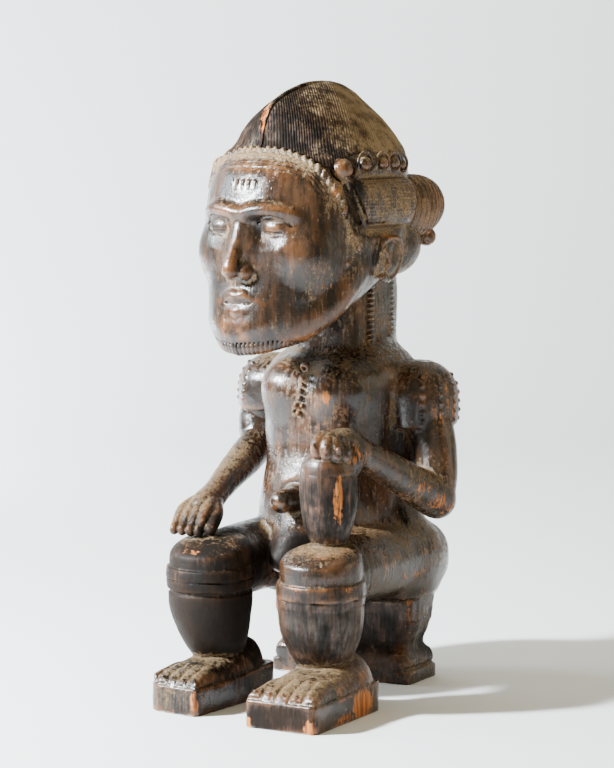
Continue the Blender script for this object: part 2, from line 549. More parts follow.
    # raised marks: breastbone row, shoulder rows, neck ladders
    add(ring((0.6, -42.6, 219.6), 2.5, 1.0, (-62, 0, 0)), 0.3)
    for x, y, z, r in ((0.4, -44.6, 213.0, 1.9), (0.2, -45.4, 208.8, 1.7), (-0.6, -46.0, 204.4, 2.0), (-1.0, -46.4, 199.6, 1.9), (-4.0, -46.6, 194.8, 1.8),
                       (0.8, -46.6, 194.4, 1.7), (-5.8, -46.8, 190.6, 1.5), (-1.8, -47.0, 189.4, 2.0)):
        add(ell((x, y, z), (r, r * 1.1, r)), 0.5)
    for side in both:
        cx, cy, cz, rx, ry = side * 59.3, 17.0, 198.5, 23.6, 25.0
        for phi in (-62, -30, 0, 30, 60):
            ph = math.radians(phi)
            for k in range(6):
                z = 183.5 + 5.9 * k if side > 0 else 191.5 + 4.9 * k
                r = np.interp(z, [q[0] for q in CAP], [q[1] for q in CAP])
                add(ell((cx + side * (r - 0.3) * math.cos(ph), cy + (r * 1.06 - 0.3) * math.sin(ph), z), (1.7, 1.7, 1.75)), 0.5)
            for off in (-9.0, 9.0):
                pts = []
                for z in (184, 192, 200, 208, 214):
                    r = np.interp(z, [q[0] for q in CAP], [q[1] for q in CAP]) + 0.5
                    po = math.radians(phi + off)
                    pts.append((cx + side * r * math.cos(po), cy + r * 1.06 * math.sin(po), z, 0.5))
                cut(tube(pts, 10), 0.5)
        # neck ladders
        for k in range(15):
            z = 233 + 3.6 * k
            add(ell((side * 28.0, 0.0, z), (1.7, 4.6, 1.25)), 0.5)
            add(ell((side * 26.4, 30.0, z + 0.6), (2.1, 4.4, 1.25), (0, 0, -side * 16)), 0.5)
            add(ell((side * 22.4, 40.8, z - 0.6), (3.0, 3.4, 1.25), (0, 0, -side * 42)), 0.5)
        cut(cone((side * 29.2, -6.0, 232), (side * 29.4, -6.0, 284), 1.0), 0.7)
        cut(cone((side * 29.2, 6.4, 234), (side * 29.4, 6.4, 284), 0.8), 0.7)
        cut(cone((side * 28.6, 23.5, 232), (side * 29.0, 23.5, 284), 0.8), 0.7)

    # hand finish: slow undulation and small tool marks
    B.F += 0.22 * lattice_noise(B, 9.0, 3) + 0.10 * lattice_noise(B, 3.2, 5)
    # planed underside
    z = (B.lo[2] + B.h * np.arange(B.n[2])).astype(np.float32)
    B.F = np.maximum(B.F, -z[None, None, :])
    return B


# ---- the head, in its own frame before its slight turn ---------------------------
# z, centre y, half width, depth forward, depth back, exponent
SKULL = [(238, -88, 14, 22, 22, 2.15), (244, -82, 29, 31, 31, 2.15), (254, -74, 40, 39, 39, 2.15), (268, -60, 49, 50, 50, 2.15),
         (286, -45, 56, 63, 63, 2.15), (306, -37, 60, 71, 71, 2.15), (328, -34, 62, 73, 73, 2.15), (348, -31.5, 60.5, 71, 71, 2.12),
         (358, -28, 58.5, 68, 67, 2.07), (366, -24.5, 55.5, 61.5, 62.5, 2.0), (372, -24, 51, 58.6, 60.5, 1.95), (378, -24, 46, 57.6, 58.0, 1.95),
         (385.6, -24, 38.6, 55.4, 55.5, 1.84), (391, -24, 32, 52.6, 52.6, 1.72), (395.6, -24, 26.3, 49, 49, 1.6), (400, -23, 20.5, 43.4, 43.4, 1.52),
         (404, -21, 14.6, 36, 36.5, 1.5), (407.5, -19, 9.0, 27, 27, 1.5), (410, -17, 4.6, 18, 17.5, 1.5), (411.6, -15, 0.8, 5, 5, 1.6)]
HEAD_TURN, HEAD_AXIS = math.radians(8.0), (0.0, -24.0)
ROPE = [(-10, -86.2, 366.2), (0, -86.4, 366.6), (10, -85.6, 366.4), (19.5, -83.2, 365.2), (29.9, -81.4, 362.3), (38, -80.1, 358.5), (43.6, -77.8, 354),
        (50.5, -74, 344.3), (53.9, -70, 336.5), (56.7, -66.1, 324.8), (57.5, -61.8, 314.9), (58.2, -57.2, 306.9), (58.1, -53.8, 301.5)]
RIM = [(0, -86.3, 367.4), (10, -85.5, 367.2), (19.5, -83.5, 366.2), (29.9, -81.4, 363.4), (38, -79.5, 359.8), (43.5, -77.5, 356.4), (48, -71.5, 355.6),
       (51.5, -63, 360.5), (54.5, -54, 363.6), (56, -46, 364.6), (57, -29, 364.9), (56.5, -13, 364.6), (54.5, -1, 362.5), (50, 11, 360),
       (40, 24, 358.5), (26, 33, 357.5), (12, 37.5, 357), (0, 38.5, 357)]
RIM_TURN = [math.atan2(p[0], -(p[1] + 24)) for p in RIM]
RIM_HEIGHT = [p[2] for p in RIM]
SKULL_FINE = catmull(SKULL, 160)
SKULL_FINE = SKULL_FINE[np.argsort(SKULL_FINE[:, 0])]


def section(z):
    return [np.interp(z, SKULL_FINE[:, 0], SKULL_FINE[:, i]) for i in range(1, 6)]


def skull_shape(top, grow=0.0, sunk=0.0):
    rows = SKULL_FINE
    z = rows[:, 0]
    slope = np.maximum(np.abs(np.gradient(rows[:, 2], z)), np.abs(np.gradient(rows[:, 3], z)))
    lean = np.sqrt(1 + np.minimum(slope, 3) ** 2)

    def f(X, Y, Z):
        zc = np.clip(Z, z[0], z[-1])
        c, a, bf, bb, p = (np.interp(zc, z, rows[:, i]).astype(np.float32) for i in range(1, 6))
        ln = np.interp(zc, z, lean).astype(np.float32)
        dy = Y - c
        b = np.where(dy < 0, bf, bb)
        u, v = np.abs(X / a), np.abs(dy / b)
        k = (u ** p + v ** p) ** (1 / p)
        g = np.sqrt((u / a) ** 2 + (v / b) ** 2) / np.maximum(np.sqrt(u * u + v * v), 1e-6)
        d = (k - 1) / np.maximum(g, 1e-4) / ln - grow
        if sunk:
            th = np.arctan2(np.abs(X), -(Y + 24))
            d = d + sunk * sstep(0.2, 1.4, Z - np.interp(th, RIM_TURN, RIM_HEIGHT))
        dz = np.maximum(z[0] - Z, Z - top)
        return (np.minimum(np.maximum(d, dz), 0) + np.sqrt(np.maximum(d, 0) ** 2 + np.maximum(dz, 0) ** 2)).astype(np.float32)
    return Shape(f, (-64, -110, z[0]), (64, 42, top))


def below(shape, z, slope_x=0.0, slope_y=0.0, c=(0, 0), keep=1):
    """The part of a shape under (keep 1) or over (keep -1) a sloping plane."""
    def f(X, Y, Z):
        cut = keep * (Z - (z + slope_x * (np.abs(X) - c[0]) + slope_y * (Y - c[1])))
        return np.maximum(shape.f(X, Y, Z), cut)
    return Shape(f, shape.lo, shape.hi)


def on_skull(p):
    """Moves a point level, straight out from the head's axis, onto the skull."""
    c, a, bf, bb, e = section(p[2])
    dy = p[1] - c
    b = bf if dy < 0 else bb
    k = (abs(p[0] / a) ** e + abs(dy / b) ** e) ** (1 / e)
    return (p[0] / k, c + dy / k, p[2])


def carve_head(h):
    H = Field((-70, -130, 229), (70, 62, 377), h)
    add, cut, push = H.add, H.cut, H.push
    both = (1, -1)
    add(skull_shape(374, sunk=1.6), 0)
    # nape
    add(ell((34, 11, 302), (20, 25, 21.5)), 7, both)
    add(ell((0, 22, 306), (38, 30, 30)), 8)

    # ---- face: calm, plain, in even thirds
    add(ell((33, -78, 299), (19.5, 20, 19)), 10, both)
    add(tube([(50, -52, 286, 9), (44, -68, 265, 9.5), (27, -88, 249, 9), (0, -97, 245.5, 9)], 12), 8, both)
    add(ell((0, -92, 266), (25, 15.0, 17)), 8)
    add(ell((0, -96, 248.5), (15, 11.5, 9.5)), 6)
    cut(ell((21.6, -110.5, 314.5), (15.5, 10.5, 10.5)), 6, both)
    add(tube([(41, -82, 321, 3.0), (32, -97.0, 326.6, 4.0), (21, -103.6, 328.6, 4.4), (10, -106.4, 327.6, 4.2), (4, -106.8, 326, 4.0)], 14), 4.5, both)
    # nose
    add(ell((0, -103, 300), (11.5, 9.0, 18)), 6)
    add(tube([(0, -103.6, 323, 4.2), (0, -107.4, 313, 3.9), (0, -112.0, 302, 4.3), (0, -116.0, 292.5, 5.2), (0, -116.6, 288.8, 5.4)], 14), 3)
    add(ell((7.0, -109.0, 288.0), (4.6, 6.4, 4.9)), 3.0, both)
    cut(ell((4.3, -112.0, 283.0), (2.3, 3.6, 1.8), (24, 0, 0)), 0.9, both)
    cut(cone((0, -111.4, 279.5), (0, -111.4, 274.8), 1.4), 1.5)
    # lips, closed
    add(tube([(18.0, -100.6, 267.6, 1.8), (10.5, -105.8, 270.6, 3.2), (3.6, -108.6, 272.4, 3.9), (0, -108.6, 271.2, 3.7)], 12), 1.6, both)
    add(tube([(16.4, -101.2, 265.6, 2.0), (9.0, -105.8, 262.8, 4.0), (0, -108.0, 261.6, 4.9)], 10), 1.6, both)
    cut(tube([(19.6, -102.6, 267.2, 0.5), (10.5, -108.8, 267.4, 0.7), (3.4, -112.0, 267.7, 0.75), (0, -112.2, 266.9, 0.75)], 12), 0.7, both)
    # eyes: ball, half-closed lids, crease
    ball = (21.6, -92.6, 315.8)
    add(ell(ball, (11.4, 8.6, 8.0)), 0.6, both)
    add(below(ell((21.6, -92.6, 316.2), (12.8, 10.0, 9.0)), 314.2, -0.06, 0, (21.6, 0), keep=-1), 0.5, both)
    add(below(ell((21.6, -92.4, 315.0), (12.4, 9.7, 8.4)), 311.4, 0.10, 0, (21.6, 0), keep=1), 0.5, both)
    cut(tube([(9.6, -100.6, 317.5, 0.7), (15, -104.0, 322.2, 0.9), (22, -104.6, 324.2, 0.95), (29.5, -101.4, 322.0, 0.9), (35.4, -95.0, 317.0, 0.7)], 14), 0.8, both)
    # raised bars on the brow and small marks on the cheeks
    for x in (-9.2, -4.6, 0, 4.6, 9.2):
        y = on_skull((x, -90, 344))[1]
        add(cone((x, y + 0.5, 341.8), (x, y + 1.0, 346.2), 1.35), 0.5)
    for k in range(3):
        for j in range(2):
            x, y, z = on_skull((47.0 + 4.6 * j, -60 + 6.5 * j, 293 - 6.0 * k))
            add(ell((x, y, z), (1.9, 1.9, 1.9)), 0.8, both)

    # ear in low relief behind a deep groove
    add(ell((54.5, -22, 296), (6.5, 14, 15)), 2.5, both)
    add(tube([(59.2, -34.5, 301, 1.9), (60.4, -30, 307.0, 2.3), (60.2, -20, 309.4, 2.5), (58.2, -10.5, 305.5, 2.5), (56.4, -7.5, 296, 2.4),
              (56.0, -11, 286.5, 2.3), (55.8, -19, 281, 2.4), (57.0, -28, 282.5, 2.6)], 26), 1.0, both)
    add(tube([(60.3, -30, 301, 1.5), (60.9, -26, 296, 1.7), (60.2, -27, 289, 1.6)], 10), 0.8, both)
    cut(ell((62.2, -18.5, 297.5), (3.6, 6.5, 8.0)), 1.6, both)
    cut(tube([(61.5, -37.8, 306, 1.6), (60.6, -37.4, 298, 2.6), (59.4, -36.2, 288, 2.4), (57.6, -34.5, 281, 1.5)], 14), 0.8, both)

    # rope along the hairline and fine lines before it
    path = catmull([on_skull(p) for p in ROPE], 240)
    seg = np.concatenate([[0], np.cumsum(np.linalg.norm(np.diff(path, axis=0), axis=1))])
    mid = float(np.interp(0.0, path[:, 0], seg))
    for off, r, depth in ((5.6, 0.55, 0.5), (8.4, 0.5, 0.45), (11.4, 0.5, 0.4)):
        rows = []
        for t in np.linspace(mid, mid + 62, 16):
            p = np.array([np.interp(t, seg, path[:, i]) for i in range(3)])
            q = p + np.array([0, -0.30 * off, -0.95 * off]) if t < mid + 40 else p + np.array([-0.25 * off, -0.75 * off, -0.55 * off])
            q = on_skull(q)
            rows.append((*q, r))
        cut(tube(rows, 34), depth, both)
    add(tube([(*on_skull(p), 1.3) for p in ROPE[1:]], 36), 1.2, both)
    n = int((seg[-1] - mid) / 5.4)
    for k in range(n + 1):
        t = mid + (k + 0.5 if k else 0.0) * 5.4
        if t > seg[-1]:
            break
        p = np.array([np.interp(t, seg, path[:, i]) for i in range(3)])
        q = np.array([np.interp(min(t + 1, seg[-1]), seg, path[:, i]) for i in range(3)])
        d = (q - p) / max(np.linalg.norm(q - p), 1e-6)
        n_ = np.array([p[0] / 55 ** 2, (p[1] + 28) / 66 ** 2, 0.0])
        n_ /= np.linalg.norm(n_)
        w = np.cross(n_, d)
        a_, b_ = p + n_ * 0.45 - d * 1.3 + w * 1.3, p + n_ * 0.45 + d * 1.3 - w * 1.3
        add(cone(a_, b_, 1.6), 0.6, both if k else (1,))

    # great knob at the temple in its collar
    cut(ell((53.0, -65.0, 354.6), (9.0, 9.2, 9.2)), 1.2, both)
    add(ell((50.0, -62.8, 354.2), (7.6, 7.4, 7.4)), 0.5, both)
    # row of knobs in scalloped niches
    for y, z, r in ((-46.3, 357.2, 5.0), (-30.0, 357.6, 4.4), (-15.4, 357.6, 4.2), (-3.0, 356.4, 3.6)):
        x = on_skull((50, y, z))[0]
        cut(ell((x + 2.2, y, z + 0.6), (5.6, r + 2.3, r + 2.2)), 0.8, both)
        add(ring((x + 0.2, y, z + 0.4), r + 2.6, 1.0, (0, 90, 0)), 0.6, both)
        add(ell((x - 0.6, y, z), (r, r, r)), 0.5, both)

    # side roll: barrel along the temple with a slanted front and striped skin
    def barrel(X, Y, Z):
        x, z = (X - 45.8) / 17.4, (Z - 331.5) / 17.6
        k = (np.abs(x) ** 2.4 + np.abs(z) ** 2.4) ** (1 / 2.4)
        d = (k - 1) * 17.8
        th = np.arctan2(Z - 331.5, X - 42.0)
        top = sstep(0.25, 0.45, th)
        middle = (1 - top) * sstep(-0.75, -0.55, th)
        lines = np.abs(np.sin(th * 30)) ** 0.7 * (0.85 * top + 0.55 * middle)
        patch = sstep(-0.2, 0.3, np.sin(Y * 0.28 + 1.0) * np.sin(th * 4.2 + 0.6))
        weave = np.abs(np.sin(Y * 1.5)) * 0.50 * middle * patch
        d = d - lines - weave + 0.2
        front = (-66.0 + (347.0 - Z) * 0.60) - Y
        back = Y - 2.0
        e = np.maximum(front, back) / 1.12
        d, e = d + 1.4, e + 1.4
        return (np.minimum(np.maximum(d, e), 0) + np.sqrt(np.maximum(d, 0) ** 2 + np.maximum(e, 0) ** 2) - 1.4).astype(np.float32)
    cut(sup((64.5, -27, 331.5), (9.0, 40, 22.5), p=4.5), 2.0, both)
    add(Shape(barrel, (28, -72, 312), (64, 4, 351)), 0.6, both)
    # deep slanted slot in front of the roll
    cut(tube([(57.5, -67.5, 348.5, 2.6), (56.4, -64.5, 343.5, 4.2), (57.0, -57.5, 331, 4.6), (58.2, -50.0, 318.5, 3.7), (59.2, -46.5, 313.8, 2.0)], 20), 0.5, both)
    cut(tube([(50.5, -62.5, 343.5, 2.0), (51.5, -55.5, 331, 2.3), (53, -48.5, 319, 1.8)], 12), 0.5, both)

    # ringed bun behind the roll, and the ball under it
    def bun(X, Y, Z):
        x, y, z = (X - 43) / 16.8, (Y - 25) / 28.8, (Z - 328) / 20.6
        k0 = np.sqrt(x * x + y * y + z * z)
        k1 = np.sqrt((x / 16.8) ** 2 + (y / 28.8) ** 2 + (z / 20.6) ** 2) + 1e-9
        d = k0 * (k0 - 1) / k1
        wave = np.abs(np.sin((Y - 5.0) * np.pi / (5.2 - 0.018 * (Y - 5.0)))) ** 0.8
        return (d - 1.45 * wave + 0.75).astype(np.float32)
    add(Shape(bun, (24, -6, 306), (62, 56, 350)), 0.4, both)
    add(ell((45.2, 38.8, 306.4), (6.6, 6.6, 6.6)), 1.2, both)
    cut(ring((45.2, 38.8, 306.4), 6.6, 0.5, (0, 60, 20)), 0.3, both)

    # beard: narrow ridged crescent under the jaw
    beard = [(37, -76, 250, 2.6), (31, -86, 245.5, 4.0), (22, -96.5, 241.5, 4.9), (11, -104.0, 239, 5.4), (0, -106.4, 238.2, 5.6)]
    add(tube(beard, 20), 1.4, both)
    ridge = catmull(beard, 200)
    rs = np.concatenate([[0], np.cumsum(np.linalg.norm(np.diff(ridge[:, :3], axis=0), axis=1))])
    for k in range(int(rs[-1] / 2.7)):
        t = rs[-1] - 1.35 - 2.7 * k
        p = np.array([np.interp(t, rs, ridge[:, i]) for i in range(4)])
        o = np.array([p[0], p[1] + 70, 0.0])
        o /= np.linalg.norm(o)
        r = p[3] + 0.35
        rows = [(*(p[:3] + o * r * math.cos(a) + np.array([0, 0, 1.0]) * r * math.sin(a) * 1.0), 0.55) for a in np.radians([75, 40, 5, -30, -65, -95])]
        cut(tube(rows, 9), 0.4, both)

    H.F += 0.16 * lattice_noise(H, 8.0, 13) + 0.08 * lattice_noise(H, 2.8, 15)
    return H


def turn_head(V):
    c, s = math.cos(HEAD_TURN), math.sin(HEAD_TURN)
    x, y = V[:, 0] - HEAD_AXIS[0], V[:, 1] - HEAD_AXIS[1]
    return np.stack([HEAD_AXIS[0] + c * x + s * y, HEAD_AXIS[1] - s * x + c * y, V[:, 2]], 1)


# ---- combed cap of hair: one grid, eight points to every groove -------------------
def cap_height(x, y):
    """Height of the skull surface over plan points."""
    lo, hi = np.full(x.shape, 300.0), np.full(x.shape, 411.6)
    for _ in range(34):
        m = (lo + hi) / 2
        c, a, bf, bb, p = section(m)
        dy = y - c
        k = np.abs(x / a) ** p + np.abs(dy / np.where(dy < 0, bf, bb)) ** p
        inside = k < 1
        lo, hi = np.where(inside, m, lo), np.where(inside, hi, m)
    return (lo + hi) / 2


def hair_grid(lines=88, per=8):
    """Points of the cap: columns from the median crest down to the rim, both sides."""
    rim = catmull([on_skull(p) for p in RIM], 600)
    rs = np.concatenate([[0], np.cumsum(np.linalg.norm(np.diff(rim, axis=0), axis=1))])
    n = lines * per
    s = np.linspace(0, 1, n + 1)
    R = np.stack([np.interp(s * rs[-1], rs, rim[:, i]) for i in range(3)], 1)
    yc = np.interp(s, [0, 0.04, 0.08, 0.16, 0.26, 0.38, 0.5, 0.64, 0.8, 1.0], [-84.0, -75, -65.5, -51, -31, -7, 11, 22, 29, 34.0])
    # smooth the crest spacing
    for _ in range(60):
        yc[1:-1] = (yc[:-2] + 2 * yc[1:-1] + yc[2:]) / 4
    t = 1 - (1 - np.linspace(0, 1, 260)) ** 1.7
    X = R[:, :1] * t
    Y = yc[:, None] + (R[:, 1:2] - yc[:, None]) * t
    Z = cap_height(X, Y)
    Z[:, -1] = R[:, 2]
    P = np.stack([X, Y, Z], 2)
    L = np.concatenate([np.zeros((n + 1, 1)), np.cumsum(np.linalg.norm(np.diff(P, axis=1), axis=2), axis=1)], 1)
    head = np.array([0, 0.8, 1.5, 2.0, 2.5, 3.1, 3.9, 4.9, 6.1])
    rows = 60
    out = np.zeros((n + 1, rows, 3))
    D = np.zeros((n + 1, rows))
    for j in range(n + 1):
        tot = L[j, -1]
        f = min(1.0, tot / 12.0)
        hd = head * f
        at = np.concatenate([hd, hd[-1] + (tot - hd[-1]) * np.linspace(0, 1, rows - len(head) + 1)[1:]])
        D[j] = at
        for i in range(3):
            out[j, :, i] = np.interp(at, L[j], P[j, :, i])
    return out, D, s * lines, rs[-1]


# ---- where the wood is chipped, dusty or rubbed: centre, radii, strength ---------------
def pair(c, r, s):
    return [(c, r, s), ((-c[0], c[1], c[2]), r, s)]


RAW_BODY = [((76, -98, 9), (4, 15, 9), 0.80), ((76, -120, 3), (4, 14, 4), 0.5), ((72, -159, 4), (5, 3, 5), 0.62), ((25.7, -159, 3), (4, 3, 4), 0.55),
            ((-18.9, -152, 10), (3.5, 4, 8), 0.62), ((81, -24, 142), (6, 9, 5), 0.45), ((86, -11, 131), (6, 8, 7), 0.50), ((88.5, -1, 125), (5, 8, 8), 0.38),
            ((61, -83, 170), (7, 8, 8), 0.42), ((19.4, -46.5, 201), (4, 4, 5), 0.60), ((12, -46, 188), (8, 4, 12), 0.26), ((68, -41, 91), (8, 14, 3), 0.34),
            ((67.5, 10, 93), (8, 16, 3.5), 0.34), ((66, -9, 80), (8, 20, 4), 0.34), ((-42.7, -122, 102.5), (15, 5, 1.8), 0.45), ((71, -108, 85), (5, 10, 2.5), 0.36),
            ((38, -125, 86), (10, 4, 2.2), 0.36), ((57.5, -97.5, 142), (4, 4, 16), 0.62), ((83, 17, 200), (3, 16, 22), 0.32), ((79, 3, 186), (4, 4, 6), 0.42),
            ((54, 8, 46), (4, 5, 18), 0.34), ((-6, -46.5, 192), (5, 4, 5), 0.3)]
WORN_BODY = [((14, -46, 192), (26, 14, 28), 0.9), ((44, -86, 140), (24, 24, 30), 0.55), ((76, -25, 142), (18, 32, 16), 0.7), ((72, 12, 200), (22, 26, 22), 0.7),
             ((76, -112, 9), (8, 46, 10), 0.8), ((-70, 10, 198), (16, 22, 22), 0.5), ((55, -20, 95), (26, 56, 20), 0.5), ((28, 0, 255), (10, 22, 26), 0.6),
             ((44, -106, 100), (26, 26, 12), 0.6), ((-40, -106, 100), (26, 26, 12), 0.4), ((56, -75, 172), (14, 14, 12), 0.8), ((40, 20, 40), (40, 30, 40), 0.35),
             ((-62, -30, 148), (14, 40, 16), 0.35), ((0, -50, 150), (30, 14, 30), 0.35), ((80, 6, 160), (14, 18, 30), 0.5)]
DUST_BODY = [((50, -122, 27), (27, 40, 11), 0.72), ((-35, -116, 26), (23, 38, 11), 0.80), ((-35, -150, 9), (24, 9, 10), 0.85), ((-52, -108, 9), (9, 46, 10), 0.5),
             *pair((56, 8, 100), (26, 62, 20), 0.62), ((0, -50, 116), (34, 14, 18), 0.6), ((30, 15, 222), (34, 26, 12), 0.5), ((-30, 15, 222), (34, 26, 12), 0.5),
             ((0, 20, 262), (34, 42, 34), 0.60), ((-62, -28, 146), (15, 42, 15), 0.5), ((44, -97, 48), (30, 30, 22), 0.34), ((44, -97, 110), (20, 20, 8), 0.55),
             ((-40, -97, 110), (20, 20, 8), 0.5), ((-62, -84, 124), (14, 22, 12), 0.6), ((50, -78, 182), (14, 14, 7), 0.5), ((60, 30, 20), (10, 20, 20), 0.5),
             ((70, -22, 142), (20, 40, 20), 0.52), ((60, 10, 190), (26, 26, 26), 0.35), ((66, 6, 24), (18, 30, 26), 0.5), ((46, -86, 174), (18, 18, 12), 0.45), ((14, -40, 186), (40, 20, 46), 0.36), ((-16, -44, 150), (14, 10, 30), 0.3)]
RAW_HEAD = [((45.2, 38.8, 306.4), (8, 8, 8), 0.40), ((59, 35, 332), (4, 8, 9), 0.36), ((60.5, -27, 309.5), (4, 8, 2.6), 0.5), ((44, -85, 287), (3, 4, 5), 0.45),
            ((53, -72.5, 340), (3, 4, 3.5), 0.6), ((51, -68, 351), (3, 3, 4), 0.4), ((50, -78, 279), (3, 5, 4), 0.36)]
WORN_HEAD = [((20, -88, 352), (26, 12, 8), 0.7), ((40, -86, 290), (10, 12, 9), 0.8), ((60, -27, 309), (6, 12, 5), 1.0), *pair((24, -103, 326), (18, 8, 4), 0.6),
             ((0, -114, 298), (5, 8, 16), 0.5), ((30, -92, 242), (14, 14, 8), 0.6), ((52, 30, 330), (10, 14, 20), 0.5),
             ((50, -60, 272), (12, 20, 20), 0.5)]
DUST_HEAD = [((0, -86, 364), (32, 7, 6), 1.0), *pair((35, -80, 357), (14, 8, 9), 1.0), *pair((52, -70, 338), (8, 11, 16), 0.95), *pair((57, -60, 314), (7, 11, 15), 0.9),
             *pair((60, -30, 331), (10, 38, 20), 0.85), *pair((48, 26, 328), (20, 30, 22), 0.55), *pair((57, -30, 362), (6, 34, 5), 0.6), *pair((57, -34, 292), (8, 34, 28), 0.62),
             *pair((40, 15, 300), (26, 30, 26), 0.6), *pair((46, -72, 284), (12, 26, 24), 0.42), ((0, -96, 252), (30, 14, 8), 0.4), *pair((21.6, -101, 308), (12, 5, 3), 0.4)]
WORN_CAP = [((30, -60, 380), (20, 16, 12), 0.5), ((0, -76, 384), (6, 12, 16), 0.8)]
SOOT_BODY = [((-40, -98, 62), (36, 44, 62), 1.0), ((-35, -150, 8), (30, 12, 10), 0.3), ((44, -100, 58), (34, 38, 44), 0.62), ((50, -160, 8), (34, 8, 10), 0.75),
             ((20, 40, 30), (40, 40, 40), 0.9), ((-40, 0, 90), (34, 60, 34), 0.7), ((44, -88, 138), (24, 26, 30), 0.70), ((72, -10, 190), (14, 14, 26), 0.4),
             ((0, -62, 98), (24, 24, 14), 0.75), ((0, -44, 128), (30, 14, 22), 0.45)]
SOOT_HEAD = [((0, -40, 255), (40, 50, 12), 0.5), *pair((58, -57, 331), (5, 10, 19), 1.0), *pair((60, -37, 296), (4, 4, 13), 0.9), *pair((50, -50, 300), (20, 40, 30), 0.35),
             ((0, -100, 300), (34, 30, 44), 0.32)]


# ---- from fields to meshes ----------------------------------------------------------
OFFSET = np.array([3.54, -43.12, 0.0])


def mesh_object(name, V, face_sets):
    me = bpy.data.meshes.new(name)
    me.vertices.add(len(V))
    me.vertices.foreach_set("co", ((V - OFFSET) / 1000.0).astype(np.float32).ravel())
    loops = np.concatenate([f.ravel() for f in face_sets]).astype(np.int32)
    totals = np.concatenate([np.full(len(f), f.shape[1]) for f in face_sets]).astype(np.int32)
    starts = np.concatenate([[0], np.cumsum(totals)[:-1]]).astype(np.int32)
    me.loops.add(len(loops))
    me.loops.foreach_set("vertex_index", loops)
    me.polygons.add(len(totals))
    me.polygons.foreach_set("loop_start", starts)
    me.polygons.foreach_set("use_smooth", np.ones(len(totals), bool))
    me.update(calc_edges=True)
    me.validate()
    obj = bpy.data.objects.new(name, me)
    bpy.context.scene.collection.objects.link(obj)
    return obj


def thinned(obj, target):
    """Fewer triangles, most of them kept where the surface bends."""
    mod = obj.modifiers.new("thin", "DECIMATE")
    mod.ratio = target / (2.0 * len(obj.data.polygons))
    mod.use_collapse_triangulate = True
    me = bpy.data.meshes.new_from_object(obj.evaluated_get(bpy.context.evaluated_depsgraph_get()))
    obj.modifiers.clear()
    old = obj.data
    obj.data = me
    me.name = old.name + "_thin"
    bpy.data.meshes.remove(old)
    me.polygons.foreach_set("use_smooth", np.ones(len(me.polygons), bool))


def points_of(obj):
    co = np.zeros(len(obj.data.vertices) * 3, np.float32)
    obj.data.vertices.foreach_get("co", co)
    return co.reshape(-1, 3).astype(float) * 1000.0 + OFFSET


def store(obj, **values):
    for name, v in values.items():
        a = obj.data.attributes.new(name, "FLOAT", "POINT")
        a.data.foreach_set("value", np.asarray(v, np.float32))


def unit(g):
    return g / np.maximum(np.linalg.norm(g, axis=1, keepdims=True), 1e-9)


def relief(H, V):
    """How hollow the surface is round each point, close by and more broadly, and its outward direction."""
    P = (V - H.lo) / H.h
    D = np.clip(H.F, -12, 12)
    near = blur(D, 1.1, H.h)
    fine, _ = sample(near, P)
    wide, _ = sample(blur(near, 3.6, H.h), P)
    _, g = sample(H.F, P)
    return np.clip(fine / 0.55, -1, 1), np.clip(wide / 2.4, -1, 1), unit(g)


def blobs(V, spots):
    """1 inside the given ellipsoids, falling to 0 at about 1.5 of their size."""
    m = np.zeros(len(V))
    for c, r, s in spots:
        d = np.sqrt((((V - v3(c)) / v3(r)) ** 2).sum(1))
        m = np.maximum(m, s * (1 - sstep(0.55, 1.5, d)))
    return m


